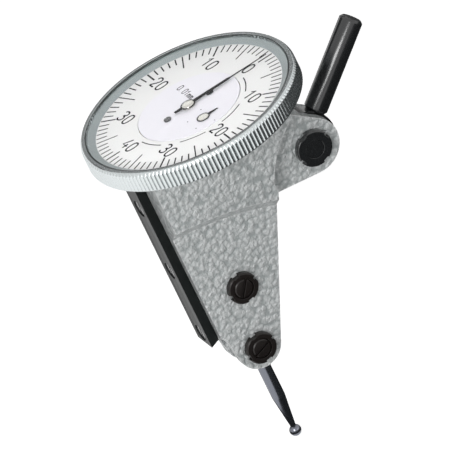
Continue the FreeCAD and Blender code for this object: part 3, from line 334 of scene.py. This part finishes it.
FINISH = {
    "black_steel": grained("black_steel", (0.010, 0.011, 0.012), 0.0, 0.20, 0.30, Coat_Weight=0.6,
                           Coat_Roughness=0.18),
    "rail_steel": grained("rail_steel", (0.006, 0.008, 0.008), 0.0, 0.42, 0.55, Specular_IOR_Level=0.3),
    "browned_steel": grained("browned_steel", (0.012, 0.009, 0.008), 0.15, 0.28, 0.42, Specular_IOR_Level=0.4),
    "satin_chrome": grained("satin_chrome", (0.60, 0.635, 0.64), 1.0, 0.2, 0.3),
    "reflector_grey": grained("reflector_grey", (0.30, 0.34, 0.345), 0.6, 0.35, 0.45),
    "dark_chrome": grained("dark_chrome", (0.19, 0.20, 0.23), 1.0, 0.2, 0.28),
    "bright_steel": grained("bright_steel", (0.62, 0.61, 0.57), 1.0, 0.16, 0.26),
    "spring_steel": grained("spring_steel", (0.20, 0.24, 0.36), 1.0, 0.15, 0.3),
    "movement_brass": grained("movement_brass", (0.70, 0.52, 0.24), 1.0, 0.2, 0.34),
    "dial_paint": grained("dial_paint", (0.76, 0.76, 0.755), 0.0, 0.42, 0.55, lift=0.04),
    "disc_paint": grained("disc_paint", (0.76, 0.75, 0.80), 0.0, 0.40, 0.52, lift=0.04),
    "hand_black": grained("hand_black", (0.006, 0.006, 0.007), 0.0, 0.5, 0.65, Specular_IOR_Level=0.12),
    "dial_ink": grained("dial_ink", (0.006, 0.006, 0.008), 0.0, 0.6, 0.8, Specular_IOR_Level=0.05),
    "clear_nylon": grained("clear_nylon", (0.05, 0.06, 0.06), 0.0, 0.3, 0.4),
}
print("finishes:", ", ".join(FINISH))

# %% [markdown]
# The casting wears hammered paint, whose film is dimpled into small round cells. A Voronoi pattern makes the
# cells, warped by noise so that they are uneven, and the same pattern lifts the surface. The colour is paler
# in the raised middle of each cell and darker along its sunken border: painted shade in the hollows.

# %% Hammered paint
hammered, tree, shader = new_material("hammertone_paint", Metallic=0.12)
where = add(tree, "ShaderNodeTexCoord")
warp = add(tree, "ShaderNodeTexNoise", {"Scale": 1500.0, "Detail": 2.0})
shift = add(tree, "ShaderNodeVectorMath", {1: (0.0008, 0.0008, 0.0008)}, operation="MULTIPLY")
moved = add(tree, "ShaderNodeVectorMath", operation="ADD")
cell = add(tree, "ShaderNodeTexVoronoi", {"Scale": 1150.0, "Smoothness": 0.35}, feature="SMOOTH_F1")
tint = add(tree, "ShaderNodeTexNoise", {"Scale": 3200.0, "Detail": 3.0, "Roughness": 0.6})
round_top = add(tree, "ShaderNodeMapRange", {"From Max": 0.8, "To Min": 1.0, "To Max": 0.0})
# Darker colour where the cells sink: painted shade in the hollows of the dimples.
hollow_shade_ramp = add(tree, "ShaderNodeValToRGB")
hollow_shade_ramp.color_ramp.elements[0].position = 0.05
hollow_shade_ramp.color_ramp.elements[0].color = (0.40, 0.43, 0.43, 1)
hollow_shade_ramp.color_ramp.elements[1].position = 0.5
hollow_shade_ramp.color_ramp.elements[1].color = (0.60, 0.62, 0.62, 1)
mixed = add(tree, "ShaderNodeMath", {1: 0.25}, operation="MULTIPLY")
height = add(tree, "ShaderNodeMath", operation="ADD")
lift = add(tree, "ShaderNodeBump", {"Strength": 1.0, "Distance": 0.0003})
gloss = add(tree, "ShaderNodeMapRange", {"To Min": 0.3, "To Max": 0.42})
tree.links.new(where.outputs["Object"], warp.inputs["Vector"])
tree.links.new(warp.outputs["Color"], shift.inputs[0])
tree.links.new(where.outputs["Object"], moved.inputs[0])
tree.links.new(shift.outputs["Vector"], moved.inputs[1])
tree.links.new(moved.outputs["Vector"], cell.inputs["Vector"])
tree.links.new(where.outputs["Object"], tint.inputs["Vector"])
tree.links.new(cell.outputs["Distance"], round_top.inputs["Value"])
tree.links.new(tint.outputs["Fac"], mixed.inputs[0])
tree.links.new(round_top.outputs["Result"], height.inputs[0])
tree.links.new(mixed.outputs["Value"], height.inputs[1])
tree.links.new(round_top.outputs["Result"], hollow_shade_ramp.inputs["Fac"])
tree.links.new(hollow_shade_ramp.outputs["Color"], shader.inputs["Base Color"])
tree.links.new(height.outputs["Value"], lift.inputs["Height"])
tree.links.new(lift.outputs["Normal"], shader.inputs["Normal"])
tree.links.new(tint.outputs["Fac"], gloss.inputs["Value"])
tree.links.new(gloss.outputs["Result"], shader.inputs["Roughness"])
# Painted highlights: a pale line along the casting's edges and a slightly lighter one along the black steel's
# edges.
paint_edge_highlight(hammered, (0.82, 0.83, 0.83), 0.00035)
paint_edge_highlight(FINISH["black_steel"], (0.05, 0.055, 0.055), 0.00012)
FINISH["hammertone_paint"] = hammered

# %% [markdown]
# The crystal is acrylic, whose real index of refraction is 1.49. Here it is set to 1.12, far below that. With
# the real value the white room shines in the crystal at this low angle and hides the print. A photographer
# would take that glare away with a polarising filter, and the low index stands in for the filter.

# %% Crystal
glass, tree, shader = new_material(
    "clear_crystal", Base_Color=(1.0, 1.0, 1.0, 1.0), Metallic=0.0, Roughness=0.0, IOR=1.12,
    Transmission_Weight=1.0)
FINISH["clear_crystal"] = glass
print("crystal", glass.name)

# %% Every solid gets its finish first
for part in frame["record"]["subparts"]:
    solid = frame["nodes"][part["node"]]
    solid.data.materials.clear()
    solid.data.materials.append(FINISH[part["material_slot"]])
print("finished solids:", len(frame["nodes"]))

# %% [markdown]
# ## The bezel
#
# The bezel is turned with the fingers to set zero, so its skirt is knurled with straight flutes. It is one
# surface of two parameters: the place along the closed section, and the angle. On the skirt the radius dips
# between the ribs, and at the chamfer the ribs run out, which leaves the saw-toothed edge under the lip.

# %% Knurled bezel
FLUTES = 160
FLUTE_DEPTH = 0.24


def knurl(angle):
    """One minus |sin(flutes x angle / 2)| to the power 0.6: 0 on a rib's crest and 1 in the narrow valley."""
    return 1.0 - np.abs(np.sin(angle * FLUTES / 2)) ** 0.6


BORE = 17.0
LIP = 18.0
WINDOW = 16.35
SEAT = 19.5
r = BEZEL_RADIUS / MM
top = BEZEL_TOP / MM
low = BEZEL_BOTTOM / MM
ring_top = SCALE_TOP / MM
section = rounded([
    (BORE, SEAT), (BORE, low), (r - 0.25, low), (r, low + 0.25), (r, top - 0.62), (r - 0.32, top - 0.12),
    (r - 0.45, top), (LIP, top), (LIP, top - 0.5), (17.5, top - 0.5), (WINDOW, ring_top), (BORE, ring_top),
    (BORE, SEAT)], 0.1, 3)
grid = lathe(section, FLUTES * 6, DIAL)
angle = np.linspace(0, TURN, FLUTES * 6 + 1)
reached = np.clip((section[:, 0] - (r - FLUTE_DEPTH)) / FLUTE_DEPTH, 0, 1)
dip = reached[:, None] * knurl(angle)[None, :] * FLUTE_DEPTH
grid[..., 0] -= dip * MM * np.cos(angle)
grid[..., 1] -= dip * MM * np.sin(angle)
bezel = surface("bezel_knurled", [grid], FINISH["satin_chrome"], "bezel", ["bezel_ring"],
                crease=28)
bezel.data.materials.append(FINISH["reflector_grey"])
for face in bezel.data.polygons:
    out = math.hypot(face.center.x - DIAL_X, face.center.y - DIAL_Y) / MM
    if out < LIP - 0.05 and face.center.z > SCALE_TOP:
        face.material_index = 1

# %% Crystal dome
edge = 17.75
rise = 0.35
dome = (edge ** 2 + rise ** 2) / (2 * rise)
across = np.linspace(0, edge, 40)
height = top + rise - (dome - np.sqrt(dome ** 2 - across ** 2))
profile = np.concatenate([
    np.stack([across, height], 1), np.stack([across[::-1], height[::-1] - 0.5], 1)])
crystal = surface("crystal_dome", [lathe(profile, 128, DIAL)], glass, "bezel", ["crystal"])
crystal.visible_shadow = False

# %% [markdown]
# ## The dial
#
# The scale turns with the bezel and the inner disc stays. Both are thin sheets with a matt lacquer. The marks
# are ink a hundredth of a millimetre thick, each a ribbon carried along its path: a line for a graduation, an
# arc, or the strokes of a numeral.

# %% Scale ring and inner disc
surface("scale_ring", [lathe(rounded([(9.05, ring_top), (9.05, ring_top - 0.4), (16.98, ring_top - 0.4),
        (16.98, ring_top), (9.05, ring_top)], 0.03, 2), 180, DIAL)], FINISH["dial_paint"], "bezel",
        ["dial_ring"])
disc_top = DISC_TOP / MM


# %% Ribbons of ink
def ribbon(path, width, low, high):
    """A strip about a path (x, y): each point moves half the width to either side, at the low and high level."""
    path = np.array(path, float)
    ahead = np.gradient(path, axis=0)
    ahead /= np.hypot(ahead[:, 0], ahead[:, 1])[:, None]
    side = np.stack([-ahead[:, 1], ahead[:, 0]], 1) * width / 2
    rails = [(path + side, high), (path - side, high), (path - side, low), (path + side, low),
             (path + side, high)]
    grid = np.stack([np.column_stack([flat, np.full(len(flat), level)]) for flat, level in rails], axis=1)
    first = np.stack([grid[0, [0, 1]], grid[0, [3, 2]]])
    last = np.stack([grid[-1, [0, 1]], grid[-1, [3, 2]]])
    return [grid, first, last]


def on_dial(grids, centre):
    """Moves grids from millimetres about an axis to the frame."""
    return [grid * MM + np.array(centre) for grid in grids]


print("ribbon helper ready")

# %% Graduations and numerals
DIVISIONS = 80
INK = 0.012
TICK_OUTER = 16.3


def radial(angle, inner, outer, width, level):
    """A straight mark along the radius at an angle."""
    ends = [(math.cos(angle) * reach, math.sin(angle) * reach) for reach in (inner, outer)]
    return ribbon(ends, width, level - 0.005, level + INK)


def arc(radius, start, end, width, level):
    """A mark that follows a circle from start to end degrees."""
    angle = np.radians(np.linspace(start, end, max(6, int(abs(end - start) / 2))))
    return ribbon(np.stack([np.cos(angle), np.sin(angle)], 1) * radius, width, level - 0.005, level + INK)


def smooth(points, steps=8, closed=False):
    """A Catmull-Rom curve through the points: the cubic that keeps each point's neighbours' slope."""
    points = np.array(points, float)
    if closed:
        around = np.concatenate([points[-1:], points, points[:2]])
    else:
        around = np.concatenate([2 * points[:1] - points[1:2], points, 2 * points[-1:] - points[-2:-1]])
    t = np.linspace(0, 1, steps, endpoint=False)[:, None]
    path = []
    for a, b, c, d in zip(around[:-3], around[1:-2], around[2:-1], around[3:]):
        path.append(0.5 * (2 * b + (c - a) * t + (2 * a - 5 * b + 4 * c - d) * t ** 2
                           + (3 * b - a - 3 * c + d) * t ** 3))
    path.append(points[:1] if closed else points[-1:])
    return np.concatenate(path)


def strokes(sign):
    """The strokes of one numeral in a box one high: 0 to 1 up and about 0 to 0.6 across."""
    if sign == "0":
        t = np.linspace(0, TURN, 33)
        return [np.stack([0.3 + 0.26 * np.sign(np.cos(t)) * np.abs(np.cos(t)) ** 0.8,
                          0.5 + 0.5 * np.sign(np.sin(t)) * np.abs(np.sin(t)) ** 0.85], 1)]
    if sign == "1":
        return [np.array([(0.1, 0.72), (0.34, 1.0), (0.34, 0.0)])]
    if sign == "2":
        return [np.concatenate([smooth([(0.04, 0.74), (0.12, 0.95), (0.31, 1.0), (0.5, 0.9), (0.53, 0.7),
                                        (0.4, 0.45), (0.04, 0.0)]), [(0.56, 0.0)]])]
    if sign == "3":
        return [smooth([(0.04, 0.86), (0.17, 0.98), (0.36, 0.98), (0.5, 0.84), (0.46, 0.62), (0.24, 0.53)]),
                smooth([(0.24, 0.53), (0.48, 0.46), (0.56, 0.26), (0.44, 0.05), (0.2, 0.0), (0.02, 0.14)])]
    if sign == "4":
        return [np.array([(0.38, 1.0), (0.02, 0.28), (0.6, 0.28)]), np.array([(0.42, 0.5), (0.42, 0.0)])]
    if sign == "m":
        return [np.array([(0.05, 0.62), (0.05, 0.0)]),
                smooth([(0.05, 0.42), (0.17, 0.62), (0.3, 0.42), (0.3, 0.0)]),
                smooth([(0.3, 0.42), (0.42, 0.62), (0.55, 0.42), (0.55, 0.0)])]
    return [np.array([(0.05, 0.0), (0.05, 0.09)])]


def word(signs, x, y, height, pitch, width, level):
    """Numerals written with their tops towards +X, centred on (x, y)."""
    length = pitch * (len(signs) - 1) + 0.58
    grids = []
    for place_in_word, sign in enumerate(signs):
        for path in strokes(sign):
            along = path[:, 0] + pitch * place_in_word - length / 2
            up = path[:, 1] - 0.5
            flat = np.stack([x + up * height, y - along * height], 1)
            grids += ribbon(flat, width, level - 0.005, level + INK)
    return grids


scale = []
for step in range(DIVISIONS):
    turn = TURN * step / DIVISIONS
    if step % 10 == 5:
        scale += radial(turn, 12.6, TICK_OUTER, 0.22, ring_top)
    elif step % 10 == 0:
        scale += radial(turn, 13.6, TICK_OUTER, 0.3, ring_top)
    else:
        scale += radial(turn, 14.45, TICK_OUTER, 0.24, ring_top)
for step in range(-3, 5):
    turn = TURN * step / 8
    sign = str(abs(step) * 10) if step else "0"
    scale += word(sign, 11.7 * math.cos(turn), 11.7 * math.sin(turn), 2.3, 0.78, 0.3, ring_top)
for start, end in ((9, 35), (54.6, 81.5), (99.8, 126), (146.5, 172.7)):
    scale += arc(10.0, -start, -end, 0.2, ring_top)
surface("scale_print", on_dial(scale, DIAL), FINISH["dial_ink"], "bezel", [], crease=40)

# %% Inner disc with its holes, and what is printed on it
dressed("dial_disc", "housing", FINISH["disc_paint"], 0.03)
print_grids = word("0.01mm", 1.7, 4.4, 1.25, 0.72, 0.15, disc_top)
for turn in (0, 72, 144, 216, 288):
    a = math.radians(turn)
    print_grids += ribbon([(2.8 * math.cos(a) - 0.09, COUNTER_Y / MM + 2.8 * math.sin(a)),
                           (2.8 * math.cos(a) + 0.09, COUNTER_Y / MM + 2.8 * math.sin(a))], 0.18,
                          disc_top - 0.005, disc_top + INK)
surface("disc_print", on_dial(print_grids, DIAL), FINISH["dial_ink"], "housing", [], crease=40)

# %% [markdown]
# The hands are stamped from thin sheet and pressed on domed hubs. The domes are turned, so they are a quarter
# circle carried round the axis. The pointer stands exactly at zero.

# %% Hands and hubs
dressed("pointer_hand", "pointer", FINISH["hand_black"], 0.02)
dressed("counter_hand", "counter", FINISH["hand_black"], 0.01)
hub = np.linspace(0, math.pi / 2, 10)
surface("pointer_collet", [lathe(np.concatenate([
    [(0.4, 21.54), (1.1, 21.54), (1.1, 21.92)],
    np.stack([1.1 * np.cos(hub), 21.92 + 0.33 * np.sin(hub)], 1)]), 64, DIAL)],
    FINISH["bright_steel"], "pointer", ["pointer_hub"])
surface("counter_collet", [lathe(np.concatenate([
    [(0.0, 21.56), (0.95, 21.56), (0.95, 21.66)],
    np.stack([0.95 * np.cos(hub), 21.66 + 0.13 * np.sin(hub)], 1)]), 64, COUNTER)],
    FINISH["bright_steel"], "counter", ["counter_hub"])

# %% [markdown]
# ## Casting, rail and fasteners
#
# These solids already have their shapes, so each is copied and only its edges are broken. The casting gets the
# widest edge, because thick paint rounds it, and the small screws get the narrowest.

# %% Casting, rail, screws and nuts
dressed("housing", "housing", hammered, 0.3, segments=3, name="casting")
dressed("dovetail_rail", "housing", FINISH["rail_steel"], 0.12)
dressed("rail_screws", "housing", FINISH["black_steel"], 0.05)
for node, body, finish, slot, edge in (
    ("middle_bearing_screws", "housing", "browned_steel", "browned_steel", 0.06),
    ("lower_bearing_screws", "housing", "browned_steel", "browned_steel", 0.06),
    ("middle_locknuts", "housing", "browned_steel", "browned_steel", 0.08),
    ("lower_locknuts", "housing", "browned_steel", "browned_steel", 0.08),
    ("stem_screw", "housing", "black_steel", "black_steel", 0.08),
    ("stem_nut", "housing", "black_steel", "black_steel", 0.08),
    ("dial_screws", "housing", "black_steel", "black_steel", 0.02),
    ("stem", "stem", "black_steel", "black_steel", 0.15),
    ("stylus_knuckle", "stylus", "dark_chrome", "dark_chrome", 0.08),
    ("lever_carrier", "lever", "dark_chrome", "dark_chrome", 0.08),
):
    dressed(node, body, FINISH[finish], edge)

# %% [markdown]
# ## Stylus
#
# The shank is turned: straight at the top, then one long cone down to a thin neck, and a polished ball. It is
# made straight here. The solid it replaces is straight too, and a little thicker.

# %% Stylus and ball
SHANK = 1.12
NECK = 0.45
REACH = 18.7
pivot = LOWER.z / MM
surface("stylus_turned", [lathe(rounded([
    (0.0, pivot - 4.0), (SHANK, pivot - 4.0), (SHANK, pivot - 11.6), (NECK, pivot - 17.8),
    (NECK, pivot - 18.1), (0.0, pivot - 18.1)], 0.25, 5), 64, (LOWER.x, LOWER.y, 0.0))],
    FINISH["dark_chrome"], "stylus", ["stylus_shank"])
ball_angle = np.linspace(-math.pi / 2, math.pi / 2, 33)
surface("contact_ball", [lathe(np.stack([np.cos(ball_angle), np.sin(ball_angle) + pivot - REACH], 1), 64,
        (LOWER.x, LOWER.y, 0.0))], FINISH["dark_chrome"], "stylus", ["stylus_ball"])

# %% [markdown]
# ## Studio
#
# A plain pale floor under a soft sky of light, with three large lamps. The floor and the sky are white to the
# camera and in reflections, and the floor keeps the shadow. In an all white room polished metal looks like
# paper, so two black cards stand outside the view, where only reflections find them. Product photographers use
# such cards to draw dark bands along chrome.

# %% Floor and world
floor_mesh = bpy.data.meshes.new("floor")
half = 6.0
ground = cad_low.z - 0.0002
floor_corners = [(-half, -half, ground), (half, -half, ground), (half, half, ground), (-half, half, ground)]
floor_mesh.from_pydata(floor_corners, [], [(0, 1, 2, 3)])
floor = bpy.data.objects.new("floor", floor_mesh)
bpy.context.scene.collection.objects.link(floor)
paper, tree, shader = new_material("floor_paper", Base_Color=(0.82, 0.82, 0.82, 1.0), Roughness=0.9)
floor_mesh.materials.append(paper)
glow = add(tree, "ShaderNodeEmission", {"Strength": 0.75})
sum_up = add(tree, "ShaderNodeAddShader")
choose = add(tree, "ShaderNodeMixShader")
path = add(tree, "ShaderNodeLightPath")
seen = add(tree, "ShaderNodeMath", operation="MAXIMUM")
seen_all = add(tree, "ShaderNodeMath", operation="MAXIMUM")
tree.links.new(path.outputs["Is Camera Ray"], seen.inputs[0])
tree.links.new(path.outputs["Is Glossy Ray"], seen.inputs[1])
tree.links.new(seen.outputs["Value"], seen_all.inputs[0])
tree.links.new(path.outputs["Is Transmission Ray"], seen_all.inputs[1])
tree.links.new(shader.outputs["BSDF"], sum_up.inputs[0])
tree.links.new(glow.outputs["Emission"], sum_up.inputs[1])
tree.links.new(seen_all.outputs["Value"], choose.inputs["Fac"])
tree.links.new(shader.outputs["BSDF"], choose.inputs[1])
tree.links.new(sum_up.outputs["Shader"], choose.inputs[2])
tree.links.new(choose.outputs["Shader"], tree.nodes["Material Output"].inputs["Surface"])

world = bpy.data.worlds.new("studio")
bpy.context.scene.world = world
world.use_nodes = True
tree = world.node_tree
background = tree.nodes["Background"]
path = add(tree, "ShaderNodeLightPath")
seen = add(tree, "ShaderNodeMath", operation="MAXIMUM")
seen_all = add(tree, "ShaderNodeMath", operation="MAXIMUM")
level = add(tree, "ShaderNodeMath", {1: 0.3}, operation="MAXIMUM")
tree.links.new(path.outputs["Is Camera Ray"], seen.inputs[0])
tree.links.new(path.outputs["Is Glossy Ray"], seen.inputs[1])
tree.links.new(seen.outputs["Value"], seen_all.inputs[0])
tree.links.new(path.outputs["Is Transmission Ray"], seen_all.inputs[1])
tree.links.new(seen_all.outputs["Value"], level.inputs[0])
tree.links.new(level.outputs["Value"], background.inputs["Strength"])
background.inputs["Color"].default_value = (1.0, 1.0, 1.0, 1.0)
print("floor and world", floor.name, world.name)

# %% Black cards, which only reflections see
card_paper, tree, shader = new_material("card_paper", Base_Color=(0.05, 0.055, 0.055, 1.0), Roughness=0.9)


def card(name, corners):
    """A flat black card: polished metal shows it as a dark band, and it throws no shadow."""
    sheet = bpy.data.meshes.new(name)
    sheet.from_pydata(corners, [], [(0, 1, 2, 3)])
    sheet.materials.append(card_paper)
    holder = bpy.data.objects.new(name, sheet)
    bpy.context.scene.collection.objects.link(holder)
    holder.visible_camera = False
    holder.visible_diffuse = False
    holder.visible_transmission = False
    holder.visible_shadow = False
    print("card", name)


card("floor_card", [(0.0, -1.5, ground + 0.001), (1.5, -1.5, ground + 0.001), (1.5, 1.5, ground + 0.001),
                    (0.0, 1.5, ground + 0.001)])
card("back_card", [(-0.5, 0.5, 0.16), (0.9, 0.5, 0.16), (0.9, 0.5, 0.6), (-0.5, 0.5, 0.6)])

# %% [markdown]
# Three soft lamps: a key from the front left, a broad fill from the front right, and a faint one behind. The
# back of the casting gets little light, and it looks darker from behind.

# %% Lamps
centre = (cad_low + cad_high) / 2


def lamp(name, direction, distance, size, power):
    """A square soft lamp at a distance from the object's middle, facing it."""
    light = bpy.data.lights.new(name, "AREA")
    light.size = size
    light.energy = power
    holder = bpy.data.objects.new(name, light)
    bpy.context.scene.collection.objects.link(holder)
    away = Vector(direction).normalized()
    holder.location = centre + away * distance
    holder.rotation_euler = away.to_track_quat("Z", "Y").to_euler()
    print("lamp", name, power, "W")
    return holder


lamp("key", (-0.75, -1.0, 0.6), 0.45, 0.16, 0.85)
lamp("fill", (0.8, -1.0, 0.15), 0.5, 0.4, 0.34)
lamp("rim", (0.2, 1.0, 0.8), 0.5, 0.3, 0.08)

# %% [markdown]
# The camera stands 12 metres away with a very long lens, so that parallel edges stay parallel. This has a
# price: turned round the object with its clip end at a hundred times the object's radius, this camera sees
# nothing. For such views, DISTANCE has to be about 3.4 or less.

# %% Camera
RIGHT = Vector((0.8232, -0.4149, -0.3877))
UP = Vector((0.5309, 0.3204, 0.7845))
TOWARD = RIGHT.cross(UP).normalized()
TARGET = Vector((9.54, -8.94, 4.49)) * MM
SPAN = 72.96 * MM
DISTANCE = 12.0
camera_data = bpy.data.cameras.new("camera")
camera_data.sensor_width = 36.0
camera_data.lens = 36.0 * DISTANCE / SPAN
camera_data.clip_start = 1.0
camera_data.clip_end = 50.0
camera = bpy.data.objects.new("camera", camera_data)
bpy.context.scene.collection.objects.link(camera)
spin = Matrix((RIGHT.normalized(), TOWARD.cross(RIGHT).normalized(), TOWARD)).transposed().to_4x4()
camera.matrix_world = Matrix.Translation(TARGET + TOWARD * DISTANCE) @ spin
bpy.context.scene.camera = camera
bpy.context.scene.view_settings.view_transform = "Standard"
